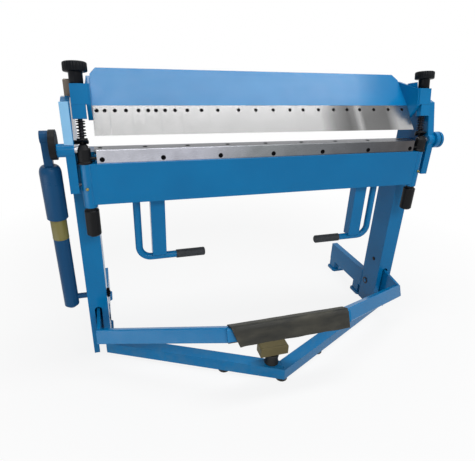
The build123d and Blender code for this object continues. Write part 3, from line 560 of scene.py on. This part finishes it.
strut = {
    "radius": 27.5, "pinY": 92.0, "pinZ": 290.0,
    "crank": 54.0, "crankAngle": math.radians(47),  # from the fold line to the eye, and how far it leans back
    "bandFrom": 272.0, "bandTo": 352.0,  # along the strut from its pin
    "eyeHalf": 15.0, "recess": 4.0, "boltFlat": 8.5, "boltHeight": 5.5,
    "nutFlat": 18.2, "nutLength": 11.0, "pinBore": 4.0, "bite": 0.2,
    "coverRadius": 35.9, "coneFromEye": 98.0, "coneLength": 26.0, "domeRise": 26.4, "domeIn": 14.0,
}
strutX = strutLow[0] + strut["radius"]
eyeY = machine["foldY"] + strut["crank"] * math.sin(strut["crankAngle"])
eyeZ = machine["bedZ"] + strut["crank"] * math.cos(strut["crankAngle"])
strutPin = np.array([strutX, strut["pinY"], strut["pinZ"]])
strutUp = np.array([0, eyeY - strut["pinY"], eyeZ - strut["pinZ"]])
strutLength = np.linalg.norm(strutUp)
strutUp /= strutLength
bandWidth = strut["bandTo"] - strut["bandFrom"]
band = turned([(27.3, 0), (28.2, 0.4), (28.4, 1.2), (28.4, 7), (28.0, 8), (28.0, bandWidth - 1),
               (27.3, bandWidth)], 48)
band = placed(band, strutPin + strut["bandFrom"] * strutUp, strutUp)
makePiece("strutBand", [band], "strut_lower", bandPaint)

boltHead = hexNut(strut["boltFlat"], strut["boltHeight"])
boltHead = placed(boltHead, (strutX - strut["eyeHalf"] + strut["recess"], eyeY, eyeZ), (-1, 0, 0))
makePiece("strutEyeBolt", [boltHead], "strut_upper", screwBlack)
nutStart = strutHigh[0] - strut["nutLength"] + strut["bite"]
nut = hexNut(strut["nutFlat"], strut["nutLength"], strut["pinBore"])
nut = placed(nut, (nutStart, strut["pinY"], strut["pinZ"]), (1, 0, 0))
pinTip = turned([(7.6, 0), (7.6, 2.4), (6.8, 3.2), (0, 3.2)], 24)
pinTip = placed(pinTip, (strutHigh[0] - strut["bite"], strut["pinY"], strut["pinZ"]), (1, 0, 0))
makePiece("strutPinNut", [nut, pinTip], "strut_lower", screwBlack)

pedalPin = {"y": 168.0, "z": 117.0, "inner": 10.2, "outer": 18.0, "thick": 2.4}
ring = washer(pedalPin["inner"], pedalPin["outer"], pedalPin["thick"])
rings = bothSides(placed(ring, (columnHigh[0], pedalPin["y"], pedalPin["z"]), (1, 0, 0)),
                  placed(ring, (columnLow[0], pedalPin["y"], pedalPin["z"]), (-1, 0, 0)))
makePiece("pedalPinWashers", rings, "frame", studSteel)

# a black dome over a hole in the right column's inner face: painted shade of the hole
holeShade = {"y": 134.0, "z": 266.0, "profile": [(10, -0.5), (10, 1.2), (8.5, 2.6), (4, 3.2), (0, 3.3)]}
dome = placed(turned(holeShade["profile"], 28), (columnLow[0], holeShade["y"], holeShade["z"]), (-1, 0, 0))
makePiece("columnHoleShade", [dome], "frame", plastic)

groove = {"fromEnd": 12.5, "radius": 29.2, "wire": 2.2, "points": 60}


def grooveShadeRing():
    # a dark wire carried round the collar in its groove, as painted shade of the groove: (x, y + R cos a, z +
    # R sin a)
    angle = np.linspace(0, 2 * np.pi, groove["points"])
    x = np.full(groove["points"], collarHigh[0] - groove["fromEnd"])
    y = machine["foldY"] + groove["radius"] * np.cos(angle)
    z = machine["bedZ"] + groove["radius"] * np.sin(angle)
    return carried(np.stack([x, y, z], -1), roundSection(groove["wire"], 10), (1, 0, 0), capped=False)


# a black ring laid in the collar's groove: painted shade of the groove
makePiece("collarGrooveShade", [grooveShadeRing()], "apron", bufferRubber, sharp=80)
print("stage 5: pins, nuts and rings made")


# The rubber mat folded over the pedal bar

mat = {
    "left": -236.0, "right": 238.0, "slant": 27.0,  # its ends along X, and how far the left one slants
    "centre": (-280.0, 283.0), "tilt": math.atan2(113.0, 250.0),  # of the pedal bar
    "half": 28.4, "corner": 15.0, "flap": 43.0, "thick": 5.6, "rows": 150,
}


def matMiddle():
    # mid line across the bar: up the front flap, round a corner, over the top and down the back
    half, corner, flap = mat["half"], mat["corner"], mat["flap"]
    angle = np.linspace(0, np.pi / 2, 9)
    front = np.stack([np.full(14, -half), np.linspace(-flap, half - corner - 2, 14)], -1)
    bend = np.stack([-half + corner * (1 - np.cos(angle)), half - corner + corner * np.sin(angle)], -1)
    top = np.stack([np.linspace(-half + corner + 2, half - corner - 2, 16), np.full(16, half)], -1)
    return np.concatenate([front, bend, top, bend[::-1] * (-1, 1), front[::-1] * (-1, 1)])


def foldedMat():
    # the mid line is carried along the bar; each point moves out by half the thickness and a dent, and
    # the flaps wave by a sum of sines that fades above the bar's edge
    half, flap, middle = mat["half"], mat["flap"], matMiddle()
    tangent = np.gradient(middle, axis=0)
    tangent /= np.linalg.norm(tangent, axis=1)[:, None]
    outward = np.stack([-tangent[:, 1], tangent[:, 0]], -1)
    share = np.linspace(0, 1, mat["rows"])[:, None]
    drop = np.clip((middle[:, 1] * -1 - 8) / (flap - 8), 0, 1)[None]  # 0 over the bar, 1 at the flap's edge
    frontness = np.clip((half - middle[:, 0]) / (2 * half), 0, 1)[None]
    slant = mat["slant"] * frontness * np.clip((half - middle[:, 1]) / (half + flap), 0, 1)[None]
    length = mat["right"] - mat["left"]
    along = mat["left"] + slant * (1 - share) ** 3 + length * share
    wave = 2.2 * np.sin(along / 31 + 1.3) + 1.5 * np.sin(along / 13 + 0.4) + 1.1 * np.sin(along / 57)
    dent = 0.5 + 0.35 * np.sin(along / 23) * np.sin(along / 41 + middle[None, :, 0] / 15)
    curl = 5.0 * np.exp(-((share * length) / 14) ** 2) * np.exp(-((middle[None, :, 0] + half) / 12) ** 2)
    outer = mat["thick"] / 2 + dent + drop * wave + curl
    inner = -mat["thick"] / 2 + drop * wave + curl
    over, under = [middle[None] + shift[..., None] * outward[None] for shift in (outer, inner)]
    section = np.concatenate([over, under[:, ::-1]], axis=1)
    along = np.concatenate([along, along[:, ::-1]], axis=1)
    cosine, sine = math.cos(mat["tilt"]), math.sin(mat["tilt"])
    points = np.stack([along, mat["centre"][0] + section[..., 0] * cosine + section[..., 1] * sine,
                       mat["centre"][1] - section[..., 0] * sine + section[..., 1] * cosine], -1)
    return gridSurface(np.concatenate([flatEnd(points[0]), points, flatEnd(points[-1])]))


def flatEnd(row):
    # closes an end of the mat: each point meets its partner through the thickness
    count = len(row) // 2
    seam = (row[:count] + row[count:][::-1]) / 2
    return np.concatenate([seam, seam[::-1]])[None]


matPiece = makePiece("foldedRubberMat", [foldedMat()], "pedal", rubber, sharp=50)
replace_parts(matPiece, "pedal_sleeve")
print("stage 6: mat folded")


# Painted plates and tubes: lug faces, posts that stop on the handle tubes, a painted highlight on the
# front edge of the left side plate, the pedal's arms, and the block on its buffer

def plateBox(low, high, bevel=1.2):
    # an upright box: rows of four corners, drawn in by the bevel at its top and bottom
    (x0, y0, z0), (x1, y1, z1) = low, high
    rings = [[(x0 + inset, y0 + inset, z), (x1 - inset, y0 + inset, z),
              (x1 - inset, y1 - inset, z), (x0 + inset, y1 - inset, z)]
             for inset, z in ((bevel, z0), (0, z0 + bevel), (0, z1 - bevel), (bevel, z1))]
    middle = [[((x0 + x1) / 2, (y0 + y1) / 2, z)] * 4 for z in (z0, z1)]
    return gridSurface(np.array([middle[0], *rings, middle[1]], float))


lugPlates = {  # from x, to x, lower end down from the lug's top, front
    "narrow": (653.5, 696.5, 108.6, 22.4),
    "wide": (641.0, 696.5, 64.0, 22.7),
}


def lugFace(x0, x1, down, front, back=14.0):
    # a flat plate carried up the front of the leaning lug
    half = 0.5 * (x1 - x0)
    section = np.array([(-half, back), (-half, front - 1), (1 - half, front),
                        (half - 1, front), (half, front - 1), (half, back)])
    line = [leaning(0.5 * (x0 + x1), at) for at in np.linspace(down, 0.5, 5)]
    return carried(line, section, leanFront)


plates = bothSides(*[lugFace(*plate) for plate in lugPlates.values()])
makePiece("lugFaces", plates, "clamp", enamel)

post = {"width": 54.0, "tubeRise": 27.0, "intoTube": 1.5, "intoApron": 0.5}
postLeft, postFront, postBack = -postLow[0], postLow[1], postHigh[1]
postEnd = handleLow[2] + post["tubeRise"] - post["intoTube"]
posts = bothSides(plateBox((postLeft - post["width"], postFront, postEnd),
                           (postLeft, postBack, apronLow[2] + post["intoApron"])))
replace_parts(makePiece("handlePosts", posts, "apron", enamel), "handle_posts")

# a thin strip of paler blue proud of the left side plate's upper front edge: a painted highlight
highlightEdge = {"from": 922.0, "belowTop": 4.0, "inset": 0.8, "proud": 0.9, "deep": 2.0, "bevel": 0.6}
strip = plateBox((-plateHigh[0] + highlightEdge["inset"], plateLow[1] - highlightEdge["proud"], highlightEdge["from"]),
                 (-plateLow[0] - highlightEdge["inset"], plateLow[1] + highlightEdge["deep"],
                  plateHigh[2] - highlightEdge["belowTop"]), highlightEdge["bevel"])
makePiece("leftPlatePaintedHighlight", [strip], "frame", highlightEnamel)

# the pedal's arms lie in the tilted plane of the pedal, square to it, and run into the cross bar
arm = {
    "from": (-697.0, -31.6, 170.8), "to": (-240.0, -279.9, 282.6), "tilt": math.radians(24.3), "step": 60,
    "section": [(-15, -25), (-12, -28), (12, -28), (15, -25), (15, 25), (12, 28), (-12, 28), (-15, 25)],
}
armUp = (0, math.sin(arm["tilt"]), math.cos(arm["tilt"]))
arms = bothSides(carried(resampled([arm["from"], arm["to"]], arm["step"]), arm["section"], armUp))
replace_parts(makePiece("pedalArms", arms, "pedal", enamel), "pedal_arms")

block = {"x": (-94.0, 22.0), "y": (-253.0, -203.0), "z": (112.0, 157.0), "bevel": 4.0}
buffer = {"foot": 63.0, "profile": [(0, 0), (27, 0), (29, 2), (25, 24), (29, 47), (27, 49), (0, 49)]}
stop = plateBox(*zip(block["x"], block["y"], block["z"]), block["bevel"])
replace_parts(makePiece("stopBlock", [stop], "frame", khaki), "stop_block")
waist = placed(turned(buffer["profile"], 40), (sum(block["x"]) / 2, sum(block["y"]) / 2, buffer["foot"]))
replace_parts(makePiece("rubberBuffer", [waist], "frame", bufferRubber), "rubber_buffer")


def strutShoulder():
    # a domed shoulder over the cover's cone: r = R - c (1 - cos t), z = low + h sin t
    radius, rise = strut["coverRadius"], strut["domeRise"]
    low = strutLength - strut["coneFromEye"] - strut["coneLength"]
    angle = np.linspace(0, np.pi / 2, 12)
    curve = np.stack([radius - strut["domeIn"] * (1 - np.cos(angle)), low + rise * np.sin(angle)], -1)
    return turned([(radius - 0.8, low - 5), *curve, (8, low + rise)], 56)


shoulder = placed(strutShoulder(), strutPin, strutUp)
makePiece("strutShoulder", [shoulder], "strut_upper", strutEnamel)
print("stage 7: plates and strut shoulder made")


# Weld beads, painted over with the plates

weld = {"radius": 2.6, "thin": 1.9, "step": 1.3, "ripple": 3.6, "inset": 2}


def weldBead(corners, radius=weld["radius"], up=(0, 0, 1)):
    # a round bead carried along the seam, its radius pulsing once a ripple
    line = resampled(corners, weld["step"])
    along = np.arange(len(line)) * weld["step"]
    swell = 0.9 + 0.16 * np.abs(np.sin(np.pi * along / weld["ripple"])) + 0.05 * np.sin(along / 17)
    return carried(line, roundSection(radius, 8), up, swell)


def ringSeam(x, y, z, radius):
    # level circle: (x + R cos a, y + R sin a, z)
    angle = np.linspace(0, 2 * np.pi, 40)
    return np.stack([x + radius * np.cos(angle), y + radius * np.sin(angle), np.full(40, z)], -1)


def squareSeam(x0, x1, y0, y1, z):
    # level rectangle, left open by 1 mm
    return [(x0, y0, z), (x1, y0, z), (x1, y1, z), (x0, y1, z), (x0, y0 + 1, z)]


beamIn, beamOut, columnBack = columnLow[0], baseHigh[0], columnHigh[1]
plateFoot, inset = columnHigh[2], weld["inset"]
steelPostFoot = (steelPostLow[1], steelPostLow[2])
veeTip = {"y": veeLow[1] + 1, "run": math.atan2(335.0, 665.0), "wide": 50}  # where the two floor tubes meet
veeBack = veeLow[1] + veeTip["wide"] / math.cos(veeTip["run"]) - 2
frameSeams = bothSides(
    weldBead([(beamIn, columnBack, baseLow[2]), (beamIn, columnBack, baseHigh[2]),
              (beamOut, columnBack, baseHigh[2]), (beamOut, columnBack, baseLow[2])], up=(0, 1, 0)),
    weldBead([(plateLow[0], columnLow[1] + inset, plateFoot), (plateLow[0], columnBack - inset, plateFoot)]),
    weldBead([(plateLow[0] + inset, columnLow[1], plateFoot),
              (plateHigh[0] - inset, columnLow[1], plateFoot)]),
    weldBead([(steelPostHigh[0] - 22, *steelPostFoot), (steelPostHigh[0] - 1, *steelPostFoot)], 2.0),
)
frameSeams.append(weldBead([(0, veeTip["y"], veeLow[2] + 3), (0, veeTip["y"], veeHigh[2] - 1),
                            (0, veeLow[1] + 4, veeHigh[2]), (0, veeBack, veeHigh[2])], 1.8, up=(1, 0, 0)))
makePiece("frameWelds", frameSeams, "frame", enamel, sharp=60)

handleSeam = {"tube": 14.0, "ring": 14.4, "post": (438.0 - 27, 438.0 + 27), "endSeam": 10.4}
seamX = endTubeHigh[0] - machine["endTubeRadius"] - handleSeam["endSeam"]
apronSeams = bothSides(
    weldBead(ringSeam(handleHigh[0] - handleSeam["tube"], 0.5 * (postFront + postBack), apronLow[2],
                      handleSeam["ring"])),
    weldBead(squareSeam(*handleSeam["post"], postFront, postBack, apronLow[2])),
    weldBead([(seamX, apronLow[1], apronLow[2] + inset), (seamX, apronLow[1], barLow[2] - inset)],
             weld["thin"], up=(1, 0, 0)),
)
makePiece("apronWelds", apronSeams, "apron", enamel, sharp=60)

lugSeam = {"radius": 22.0, "front": 18.0, "plateX": 650.0, "down": (1, 63)}  # of the round lug
lugEdge = machine["lugX"] - math.sqrt(lugSeam["radius"] ** 2 - lugSeam["front"] ** 2)
lugSeams = bothSides(*[
    weldBead([leaning(x, down) + lugSeam["front"] * leanFront for down in lugSeam["down"]], weld["thin"],
             up=(1, 0, 0))
    for x in (lugEdge, lugSeam["plateX"])])
makePiece("lugWelds", lugSeams, "clamp", enamel, sharp=60)
print("stage 8: welds laid")


# Camera, light and floor

view = {
    "place": (-587.2, -1405.0, 1231.7), "yaw": 18.115, "pitch": 24.25, "roll": 2.46, "focal": 405.0,
    "middle": (238.4, 229.1), "frame": (475, 461),  # pixels, as the focal length
    "sensor": 36, "far": 60,
}
lamps = {  # metres and watts
    "overheadStrip": {"place": (0.5, -0.45, 3.7), "aim": (0.5, -0.3, 0.9), "size": (3.4, 0.6), "power": 74},
    "frontPanel": {"place": (0.3, -3.2, 2.9), "aim": (-0.1, -0.3, 0.7), "size": (2.6, 1.0), "power": 54},
    "lowPanel": {"place": (0.6, -4.6, 0.9), "aim": (0.2, -0.6, 0.4), "size": (2.8, 0.8), "power": 16},
    "leftLowPanel": {"place": (-2.2, -1.5, 0.17), "aim": (-0.4, -0.5, 0.22), "size": (2.2, 0.32),
                     "power": 10},
}


def placeCamera():
    # the photograph's camera, fitted as yaw, then pitch, then roll
    yaw, pitch, roll = (math.radians(view[key]) for key in ("yaw", "pitch", "roll"))
    forward = np.array([math.sin(yaw) * math.cos(pitch), math.cos(yaw) * math.cos(pitch), -math.sin(pitch)])
    level = np.array([math.cos(yaw), -math.sin(yaw), 0])
    above = np.cross(level, forward)
    right = math.cos(roll) * level + math.sin(roll) * above
    up = -math.sin(roll) * level + math.cos(roll) * above
    camera = bpy.data.objects.new("camera", bpy.data.cameras.new("camera"))
    turn = Matrix([[right[i], up[i], -forward[i], 0] for i in range(3)] + [[0, 0, 0, 1]])
    camera.matrix_world = Matrix.Translation((np.array(view["place"]) + rowShift) / 1000) @ turn
    width, height = view["frame"]
    camera.data.sensor_width = view["sensor"]
    camera.data.lens = view["sensor"] * view["focal"] / width
    camera.data.shift_x = (width / 2 - view["middle"][0]) / width
    camera.data.shift_y = (view["middle"][1] - height / 2) / width
    camera.data.clip_end = view["far"]
    bpy.context.scene.collection.objects.link(camera)
    bpy.context.scene.camera = camera


def areaLamp(name, look):
    # a rectangle of light that faces its aim and that the camera doesn't see
    lamp = bpy.data.objects.new(name, bpy.data.lights.new(name, "AREA"))
    lamp.data.shape = "RECTANGLE"
    lamp.data.size, lamp.data.size_y = look["size"]
    lamp.data.energy = look["power"]
    lamp.visible_camera = False
    lamp.rotation_mode = "QUATERNION"
    lamp.location = look["place"]
    lamp.rotation_quaternion = (Vector(look["aim"]) - Vector(look["place"])).to_track_quat("-Z", "Y")
    bpy.context.scene.collection.objects.link(lamp)


def seenAsWhite(tree):
    # 1 for what the camera, metal and glass see, 0 for the light on the object
    rays = addNode(tree, "LightPath").outputs
    inputs = {0: rays["Is Camera Ray"], 1: rays["Is Glossy Ray"]}
    seen = addNode(tree, "Math", inputs, operation="MAXIMUM")
    return addNode(tree, "Math", {0: seen, 1: rays["Is Transmission Ray"]}, operation="MAXIMUM")


def paleFloor():
    # matt paper that shows as white, and keeps a shadow that fades out round the machine
    material = bpy.data.materials.new("paleFloor")
    material.use_nodes = True
    tree = material.node_tree
    tree.nodes.clear()
    place = addNode(tree, "TexCoord").outputs["Object"]
    cloud = addNode(tree, "TexNoise", {"Vector": place, "Scale": 1000 / 700, "Detail": 2, "Roughness": 0.55})
    clouded = addNode(tree, "MapRange", {0: cloud, 1: 0.3, 2: 0.7})
    inputs = {0: clouded, 6: linearColour("#DADADA"), 7: linearColour("#E0E0E0")}
    matt = addNode(tree, "BsdfDiffuse", {"Color": addNode(tree, "Mix", inputs, data_type="RGBA").outputs[2]})
    glow = addNode(tree, "Emission", {"Color": (1, 1, 1, 1), "Strength": 1.0})
    away = addNode(tree, "VectorMath", {0: place}, operation="LENGTH").outputs["Value"]
    glowing = addNode(tree, "MapRange", {0: away, 1: 0.9, 2: 2.0, 3: 0.86, 4: 1.0})  # metres
    share = addNode(tree, "Math", {0: seenAsWhite(tree), 1: glowing}, operation="MULTIPLY")
    both = addNode(tree, "MixShader", {0: share, 1: matt, 2: glow})
    addNode(tree, "OutputMaterial", {"Surface": both})
    return material


def studio():
    # soft world light that shows as white, the floor and the lamps
    world = bpy.data.worlds.new("studio")
    bpy.context.scene.world = world
    world.use_nodes = True
    tree = world.node_tree
    tree.nodes.clear()
    soft = addNode(tree, "Background", {"Color": (0.95, 0.97, 1.0, 1), "Strength": 0.25})
    white = addNode(tree, "Background", {"Color": (1, 1, 1, 1), "Strength": 1.0})
    both = addNode(tree, "MixShader", {0: seenAsWhite(tree), 1: soft, 2: white})
    addNode(tree, "OutputWorld", {"Surface": both})
    floor = bpy.data.meshes.new("floor")
    floor.from_pydata([(-12, -12, 0), (12, -12, 0), (12, 14, 0), (-12, 14, 0)], [], [(0, 1, 2, 3)])
    floor.materials.append(paleFloor())
    floorPiece = bpy.data.objects.new("floor", floor)
    bpy.context.scene.collection.objects.link(floorPiece)
    for name, look in lamps.items():
        areaLamp(name, look)


placeCamera()
studio()
bpy.context.scene.view_settings.view_transform = "Standard"
print("stage 9: camera, light and floor set")
